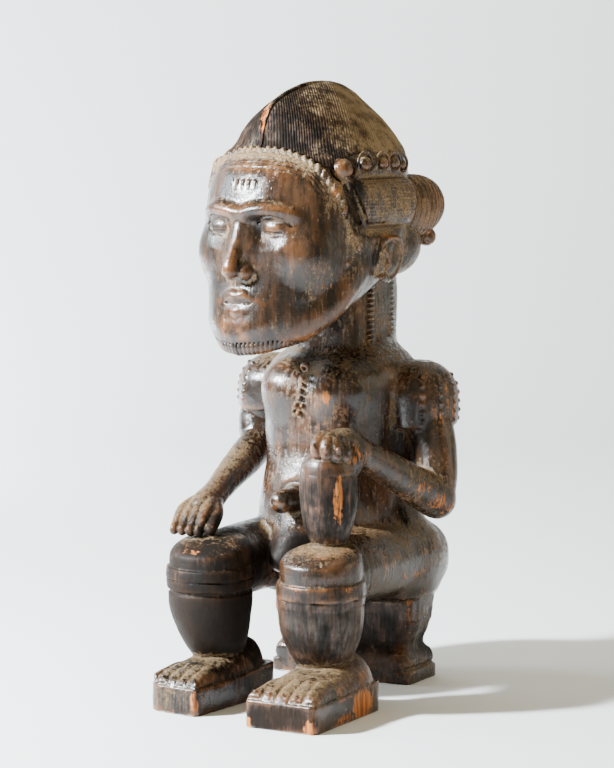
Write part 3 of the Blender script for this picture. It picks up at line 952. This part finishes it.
def build_cap():
    P, D, cols, length = hair_grid(LINES, PER)
    n, rows = P.shape[:2]
    du, dv = np.gradient(P, axis=0), np.gradient(P, axis=1)
    N = np.cross(du, dv)
    N /= np.maximum(np.linalg.norm(N, axis=2, keepdims=True), 1e-9)
    if N[n // 2, rows // 2, 0] < 0:
        N = -N
    # the crest shares one normal on both sides
    N[:, 0, 0] = 0
    N[0, :, 0] = N[-1, :, 0] = 0
    N /= np.maximum(np.linalg.norm(N, axis=2, keepdims=True), 1e-9)
    tot = D[:, -1:]
    c = cols[:, None] + 0 * D
    z, y, x = P[:, :, 2], P[:, :, 1], P[:, :, 0]
    rnd = np.random.RandomState(21).uniform(-1, 1, (LINES + 3, 8))
    li = np.clip(np.floor(c).astype(int), 0, LINES)
    ph = c - np.floor(c)
    ridge = 1 - np.abs(2 * ph - 1) ** 2.2
    each = 0.86 + 0.14 * rnd[li, 0]
    keep = sstep(2.2, 4.2, D) * sstep(0.2, 1.8, tot - D)
    worn = sstep(376, 364, z) * sstep(-84, -70, y) * 0.45
    depth = 0.50 * each * keep * (1 - worn)
    groove = depth * (1 - ridge)
    front = 1 - sstep(-40, -14, y)
    band = (0.85 * (1 - sstep(1.8, 2.6, D)) - 0.45 * np.exp(-((D - 3.1) / 0.5) ** 2)) * front
    fade = sstep(0.0, 1.2, tot - D)
    # slow undulation of the carved surface
    wave = 0.22 * np.sin(x * 0.11 + y * 0.07 + 1.3) * np.sin(z * 0.12 + y * 0.05) + 0.10 * np.sin(x * 0.31 + z * 0.23) * np.sin(y * 0.27 + 0.4)
    lift = 0.40 + (wave + band) * fade - groove
    out = {}
    sides = []
    for side in (1, -1):
        p = P + N * lift[:, :, None]
        p = p * [side, 1, 1]
        gouge = np.zeros(p.shape[:2])
        for q, r, a in GOUGE:
            d = np.sqrt((((p - v3(q)) / v3(r)) ** 2).sum(2))
            gouge = np.maximum(gouge, a * (1 - sstep(0.6, 1.15, d)))
        nn = N * [side, 1, 1]
        p = p - nn * gouge[:, :, None]
        p[:, 0, 0] = 0
        p[0, :, 0] = 0
        p[-1, :, 0] = 0
        sides.append((p, nn, gouge))
    # the crest and the two centre lines are shared, so both sides give the same points there
    a, b = sides[0][0], sides[1][0]
    for sl in ((slice(None), 0), (0, slice(None)), (-1, slice(None))):
        m = (a[sl] + b[sl]) / 2
        a[sl], b[sl] = m, m
    # rim: rolled under and closed inside the head
    verts, hollow, raw, height, normal, faces = [], [], [], [], [], []
    total = n * (rows + 2)
    for k, (p, nn, gouge) in enumerate(sides):
        last = p[:, -1]
        axis = np.stack([0 * last[:, 0], np.clip(last[:, 1], -60, 18), last[:, 2]], 1)
        inward = unit(axis - last)
        inward[0] = inward[0] * [0, 1, 1]
        inward[-1] = inward[-1] * [0, 1, 1]
        u1 = last + inward * 0.35 + np.array([0, 0, -0.35])
        u2 = last + inward * 4.0 + np.array([0, 0, -0.35])
        full = np.concatenate([p, u1[:, None], u2[:, None]], 1)
        verts.append(full.reshape(-1, 3))
        cav = groove / 0.5
        hollow.append(np.concatenate([cav, cav[:, -1:] * 0, cav[:, -1:] * 0], 1).ravel())
        raw.append(np.concatenate([gouge, gouge[:, -1:] * 0, gouge[:, -1:] * 0], 1).ravel())
        up = nn[:, :, 2]
        normal.append(np.concatenate([up, up[:, -1:], up[:, -1:]], 1).ravel())
        i, j = np.meshgrid(np.arange(n - 1), np.arange(rows + 1), indexing='ij')
        q = np.stack([i * (rows + 2) + j, (i + 1) * (rows + 2) + j, (i + 1) * (rows + 2) + j + 1, i * (rows + 2) + j + 1], 2).reshape(-1, 4) + k * total
        faces.append(q if k == 0 else q[:, ::-1])
    V = np.concatenate(verts)
    F = np.concatenate(faces)
    hollow, raw, normal = np.concatenate(hollow), np.concatenate(raw), np.concatenate(normal)
    # join the shared lines
    base = np.arange(len(V))
    R2 = rows + 2
    left = total + np.arange(n) * R2
    base[left] = left - total
    for line in (np.arange(R2), (n - 1) * R2 + np.arange(R2)):
        base[total + line] = line
    F = base[F]
    # close the underside with a fan
    loop = np.concatenate([np.arange(n) * R2 + R2 - 1, (total + np.arange(n) * R2 + R2 - 1)[::-1][1:-1]])
    loop = base[loop]
    centre = V[loop].mean(0)
    V = np.vstack([V, centre])
    hollow, raw, normal = np.append(hollow, 0), np.append(raw, 0), np.append(normal, -1)
    fan = np.stack([loop, np.roll(loop, -1), np.full(len(loop), len(V) - 1)], 1)
    used = np.unique(np.concatenate([F.ravel(), fan.ravel()]))
    new = np.full(len(V), -1)
    new[used] = np.arange(len(used))
    V, F, fan = V[used], new[F], new[fan]
    hollow, raw, normal = hollow[used], raw[used], normal[used]
    # outward winding
    t = V[fan]
    ref = V - V.mean(0)
    if np.einsum('ij,ij->i', ref[F[:, 0]], np.cross(ref[F[:, 1]] - ref[F[:, 0]], ref[F[:, 2]] - ref[F[:, 0]])).sum() < 0:
        F = F[:, ::-1]
    tn = np.cross(t[:, 1] - t[:, 0], t[:, 2] - t[:, 0])
    if tn[:, 2].sum() > 0:
        fan = fan[:, ::-1]
    obj = mesh_object("hair_cap", turn_head(V), [F, fan])
    return obj, V, hollow, raw, normal


# ---- carve --------------------------------------------------------------------------
LINES, PER = 88, 8
GOUGE = [((-4.2, -71.5, 394.5), (5.0, 4.0, 3.6), 1.7), ((-2.4, -76.5, 388.0), (3.6, 4.0, 6.0), 1.6), ((-1.6, -80.0, 381.5), (2.3, 4.0, 5.0), 1.2)]

B = carve_body(0.85)
V, Q = nets(B)
body = mesh_object("carved_body", V, [Q])
thinned(body, 198000)
V = points_of(body)
fine, wide, g = relief(B, V)
store(body, hollow=-fine, broad=-wide, up=g[:, 2], raw=blobs(V, RAW_BODY), dusty=blobs(V, DUST_BODY), worn=blobs(V, WORN_BODY), soot=blobs(V, SOOT_BODY))
del B

H = carve_head(0.62)
V, Q = nets(H)
head = mesh_object("carved_head", V, [Q])
thinned(head, 198000)
V = points_of(head)
fine, wide, g = relief(H, V)
store(head, hollow=-fine, broad=-wide, up=g[:, 2], raw=blobs(V, RAW_HEAD), dusty=blobs(V, DUST_HEAD), worn=blobs(V, WORN_HEAD), soot=blobs(V, SOOT_HEAD))
turned_points = (turn_head(V) - OFFSET) / 1000.0
head.data.vertices.foreach_set("co", turned_points.astype(np.float32).ravel())
head.data.update()
del H

cap, V, hollow, raw, up = build_cap()
store(cap, hollow=hollow, broad=0 * hollow, up=up, raw=np.clip(raw / 1.0, 0, 1), dusty=0.10 + 0.80 * sstep(-60, 10, V[:, 1] + 0.7 * V[:, 0]), worn=blobs(V, WORN_CAP), soot=0.55 * sstep(20, -40, V[:, 1] + 0.9 * V[:, 0]))


# ---- finish -------------------------------------------------------------------------
class Nodes:
    def __init__(self, name):
        self.mat = bpy.data.materials.new(name)
        self.mat.use_nodes = True
        self.t = self.mat.node_tree
        self.t.nodes.clear()

    def put(self, kind, inputs=(), **props):
        n = self.t.nodes.new(kind)
        for k, v in props.items():
            setattr(n, k, v)
        for k, v in dict(inputs).items():
            if isinstance(v, bpy.types.NodeSocket):
                self.t.links.new(v, n.inputs[k])
            else:
                n.inputs[k].default_value = v
        return n

    def attr(self, name):
        return self.put("ShaderNodeAttribute", attribute_name=name).outputs["Fac"]

    def noise(self, scale, detail=3.0, rough=0.5, stretch=(1, 1, 1), shift=(0, 0, 0)):
        co = self.put("ShaderNodeTexCoord").outputs["Object"]
        m = self.put("ShaderNodeMapping", {"Vector": co, "Scale": stretch, "Location": shift})
        return self.put("ShaderNodeTexNoise", {"Vector": m.outputs[0], "Scale": scale, "Detail": detail, "Roughness": rough}).outputs["Fac"]

    def span(self, v, lo, hi, a=0.0, b=1.0):
        return self.put("ShaderNodeMapRange", {"Value": v, "From Min": lo, "From Max": hi, "To Min": a, "To Max": b}, interpolation_type="SMOOTHSTEP").outputs[0]

    def math(self, op, a, b=0.0, clamp=False):
        return self.put("ShaderNodeMath", {0: a, 1: b}, operation=op, use_clamp=clamp).outputs[0]

    def mix(self, fac, a, b):
        n = self.put("ShaderNodeMix", data_type="RGBA")
        for key, v in (("Factor_Float", fac), ("A_Color", a), ("B_Color", b)):
            s = next(q for q in n.inputs if q.identifier == key)
            if isinstance(v, bpy.types.NodeSocket):
                self.t.links.new(v, s)
            else:
                s.default_value = (*v, 1.0) if isinstance(v, tuple) and len(v) == 3 else v
        return next(q for q in n.outputs if q.identifier == "Result_Color")

    def times(self, *v):
        out = v[0]
        for q in v[1:]:
            out = self.math("MULTIPLY", out, q)
        return out


def patina(name, hair=False, pale=1.0):
    m = Nodes(name)
    hollow, broad, up, raw, dusty, worn, soot = (m.attr(a) for a in ("hollow", "broad", "up", "raw", "dusty", "worn", "soot"))
    large = m.noise(22, 3, 0.55)
    mid = m.noise(75, 4, 0.6, shift=(0.3, 0.1, 0.7))
    small = m.noise(330, 4, 0.65, shift=(0.7, 0.4, 0.2))
    grain = m.noise(160, 5, 0.6, stretch=(1.0, 1.0, 0.12))
    fibre = m.noise(700, 3, 0.6, stretch=(1.0, 1.0, 0.06))
    speck = m.noise(1100, 2, 0.5, shift=(0.1, 0.9, 0.5))
    streak = m.noise(120, 4, 0.6, stretch=(1.0, 1.0, 0.22), shift=(0.5, 0.2, 0.3))
    scratch = m.noise(430, 5, 0.7, stretch=(1.0, 1.0, 0.11), shift=(0.2, 0.6, 0.1))
    # dark oiled wood, warmer along the grain
    col = m.mix(m.span(grain, 0.40, 0.64), (0.0075, 0.0045, 0.0028), (0.036, 0.0170, 0.0080))
    col = m.mix(m.times(m.span(m.math("ADD", large, m.math("MULTIPLY", streak, 0.5)), 0.72, 0.92), 0.60), col, (0.092, 0.038, 0.014))
    col = m.mix(m.math("MULTIPLY", m.span(scratch, 0.47, 0.36), 0.65), col, (0.0060, 0.0038, 0.0026))
    # rubbed edges show red-brown wood
    edge = m.math("MULTIPLY", m.span(hollow, -0.03, -0.5), m.span(mid, 0.40, 0.62))
    col = m.mix(m.math("MULTIPLY", edge, 0.55), col, (0.180, 0.068, 0.020))
    rub = m.math("MULTIPLY", m.span(worn, 0.05, 0.8), m.span(m.math("ADD", m.math("MULTIPLY", mid, 0.6), m.math("ADD", m.math("MULTIPLY", small, 0.40), m.math("MULTIPLY", scratch, 0.6))), 0.82, 1.00))
    col = m.mix(m.math("MULTIPLY", rub, 0.75), col, (0.175, 0.055, 0.015))
    # soot and wear leave some parts nearly black
    black = m.span(m.math("ADD", soot, m.math("MULTIPLY", m.math("SUBTRACT", m.math("ADD", mid, scratch), 1.0), -0.9)), 0.15, 0.80)
    col = m.mix(m.math("MULTIPLY", black, 0.88), col, (0.0046, 0.0034, 0.0025))
    # matt crust of dust in hollows, on ledges and in patches
    rest = m.math("MULTIPLY", m.span(up, 0.30, 0.95), 0.38)
    pile = m.math("ADD", m.math("MULTIPLY", m.span(hollow, 0.02, 0.55), 0.45), m.math("MULTIPLY", m.span(broad, 0.05, 0.75), 0.28))
    pile = m.math("ADD", m.math("ADD", pile, rest), m.math("MULTIPLY", dusty, 0.62))
    pile = m.math("SUBTRACT", pile, m.math("MULTIPLY", soot, 0.42))
    spread = m.math("ADD", m.math("ADD", m.math("MULTIPLY", mid, 0.6), m.math("MULTIPLY", small, 0.7)), m.math("MULTIPLY", scratch, 1.0))
    pile = m.math("ADD", pile, m.math("MULTIPLY", m.math("SUBTRACT", spread, 1.15), 2.1))
    dust = m.span(pile, 0.24, 0.86)
    tone = m.mix(m.span(speck, 0.35, 0.65), (0.070 * pale, 0.044 * pale, 0.021 * pale), (0.235 * pale, 0.164 * pale, 0.090 * pale))
    if hair:
        tone = m.mix(m.span(m.math("ADD", m.math("ADD", mid, m.math("MULTIPLY", speck, 0.4)), m.math("MULTIPLY", dusty, 0.25)), 0.62, 1.00), (0.060, 0.038, 0.020), (0.330, 0.240, 0.138))
    col = m.mix(m.math("MULTIPLY", dust, 0.80), col, tone)
    # deepest lines stay dark
    deep = m.span(hollow, 0.30, 0.90)
    col = m.mix(m.math("MULTIPLY", deep, 0.86 if hair else 0.68), col, (0.012, 0.0078, 0.0050))
    # bare orange wood where chips came off
    ragged = m.math("ADD", m.math("MULTIPLY", small, 0.5), m.math("MULTIPLY", scratch, 0.9))
    bare = m.span(m.math("ADD", raw, m.math("MULTIPLY", m.math("SUBTRACT", ragged, 0.70), 1.7)), 0.34, 0.62)
    bare = m.math("MULTIPLY", bare, m.span(raw, 0.02, 0.18))
    wood = m.mix(m.span(fibre, 0.35, 0.65), (0.190, 0.056, 0.014), (0.520, 0.190, 0.052))
    col = m.mix(m.math("MULTIPLY", bare, 0.92), col, wood)
    # gloss: high on clean dark wood, none on dust
    matt = m.math("MAXIMUM", m.math("MAXIMUM", dust, m.math("MULTIPLY", black, 0.95)), bare)
    rough = m.math("ADD", m.math("MULTIPLY", small, 0.22), 0.45 if hair else 0.12)
    rough = m.math("ADD", rough, m.math("MULTIPLY", matt, 0.36))
    shine = m.math("SUBTRACT", 0.26 if hair else 0.50, m.math("MULTIPLY", matt, 0.18 if hair else 0.40))
    bump = m.math("ADD", m.math("MULTIPLY", grain, 0.40), m.math("ADD", m.math("MULTIPLY", small, 0.55), m.math("MULTIPLY", speck, m.math("MULTIPLY", dust, 0.5))))
    bump = m.math("ADD", bump, m.math("ADD", m.math("MULTIPLY", fibre, 0.25), m.math("MULTIPLY", scratch, 0.55)))
    normal = m.put("ShaderNodeBump", {"Height": bump, "Strength": 0.60, "Distance": 0.0006}).outputs[0]
    b = m.put("ShaderNodeBsdfPrincipled", {"Base Color": col, "Roughness": rough, "Normal": normal, "Specular IOR Level": shine})
    b.inputs["IOR"].default_value = 1.5
    b.inputs["Coat Weight"].default_value = 0.0
    b.inputs["Coat Roughness"].default_value = 0.20
    m.put("ShaderNodeOutputMaterial", {"Surface": b.outputs[0]})
    return m.mat


skin = patina("polished_hardwood")
dusted = patina("dusted_hardwood", pale=1.5)
combed = patina("combed_hardwood", hair=True)
for obj, mat in ((body, skin), (head, dusted), (cap, combed)):
    obj.data.materials.clear()
    obj.data.materials.append(mat)
    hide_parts("seated_figure")
    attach(obj, "root")

# ---- floor: level ground that sweeps up behind ---------------------------------------
AHEAD = np.array([-0.5, 0.866, 0.0])
SIDE = np.array([0.866, 0.5, 0.0])
profile = [(-4.0, 0.0), (0.0, 0.0), (1.3, 0.0)] + [(1.3 + 1.2 * math.sin(a), 1.2 - 1.2 * math.cos(a)) for a in np.radians(np.linspace(6, 90, 15))] + [(2.5, 5.0)]
pts, quads = [], []
for i, (d, z) in enumerate(profile):
    for s in (-5.0, 5.0):
        p = AHEAD * d + SIDE * s
        pts.append((p[0], p[1], z))
    if i:
        quads.append((2 * i - 2, 2 * i - 1, 2 * i + 1, 2 * i))
me = bpy.data.meshes.new("ground")
me.from_pydata(pts, [], quads)
me.polygons.foreach_set("use_smooth", np.ones(len(quads), bool))
floor = bpy.data.objects.new("ground", me)
bpy.context.scene.collection.objects.link(floor)
g = Nodes("paper")
pb = g.put("ShaderNodeBsdfPrincipled", {"Base Color": (0.80, 0.805, 0.81, 1.0)})
pb.inputs["Roughness"].default_value = 0.9
pb.inputs["Specular IOR Level"].default_value = 0.1
g.put("ShaderNodeOutputMaterial", {"Surface": pb.outputs[0]})
me.materials.append(g.mat)

# ---- light ------------------------------------------------------------------------------
world = bpy.data.worlds.new("studio")
bpy.context.scene.world = world
world.use_nodes = True
world.node_tree.nodes["Background"].inputs[0].default_value = (1.0, 0.85, 0.50, 1.0)
world.node_tree.nodes["Background"].inputs[1].default_value = 0.41


def panel(name, place, aim, size, power, tint=(1, 1, 1)):
    light = bpy.data.lights.new(name, "AREA")
    light.shape = "RECTANGLE"
    light.size, light.size_y = size
    light.energy = power
    light.color = tint
    o = bpy.data.objects.new(name, light)
    bpy.context.scene.collection.objects.link(o)
    o.location = place
    d = np.array(aim, float) - np.array(place, float)
    o.rotation_euler = Vector([float(q) for q in d]).to_track_quat("-Z", "Y").to_euler()
    return o


def spot(right, toward, z):
    return tuple(float(q) for q in SIDE * right - AHEAD * toward + np.array([0, 0, z]))


panel("key", spot(-1.45, 0.42, 0.98), (0, 0, 0.2), (0.13, 0.13), 160, (0.90, 0.95, 1.0))
panel("near", spot(-0.90, 0.26, 0.684), (0, 0, 0.2), (0.09, 0.09), 26, (0.88, 0.95, 1.0))
panel("wall", spot(-1.9, -0.7, 1.0), tuple(AHEAD * 2.0 + SIDE * -0.9), (0.9, 0.9), 72, (0.80, 0.92, 1.0))
panel("corner", spot(-1.05, -1.1, 0.22), tuple(AHEAD * 1.9 + SIDE * -0.15), (0.5, 0.3), 52, (0.84, 0.93, 1.0))
panel("top", (0.1, 0.3, 2.2), (0, 0, 0), (1.8, 1.8), 10, (1.0, 0.90, 0.72))
panel("front", spot(0.1, 2.2, 1.2), (0, 0, 0.2), (1.2, 1.2), 4, (1.0, 0.92, 0.78))
panel("side", spot(1.7, 0.2, 0.7), (0, 0, 0.2), (0.8, 1.2), 6, (1.0, 0.90, 0.72))

# ---- camera --------------------------------------------------------------------------------
cam = bpy.data.cameras.new("cam")
cam.sensor_fit = "VERTICAL"
cam.sensor_height = 36
cam.lens = 129.77
eye = bpy.data.objects.new("cam", cam)
bpy.context.scene.collection.objects.link(eye)
r = np.array([0.86603, 0.5, 0.0])
back = np.array([0.49726, -0.86128, 0.10453])
u = np.cross(back, r)
eye.matrix_world = Matrix([[float(r[i]), float(u[i]), float(back[i]), p] for i, p in enumerate((0.92461, -1.60292, 0.40360))] + [[0, 0, 0, 1]])
bpy.context.scene.camera = eye

for obj in (body, head, cap):
    print(obj.name, len(obj.data.polygons), "faces")
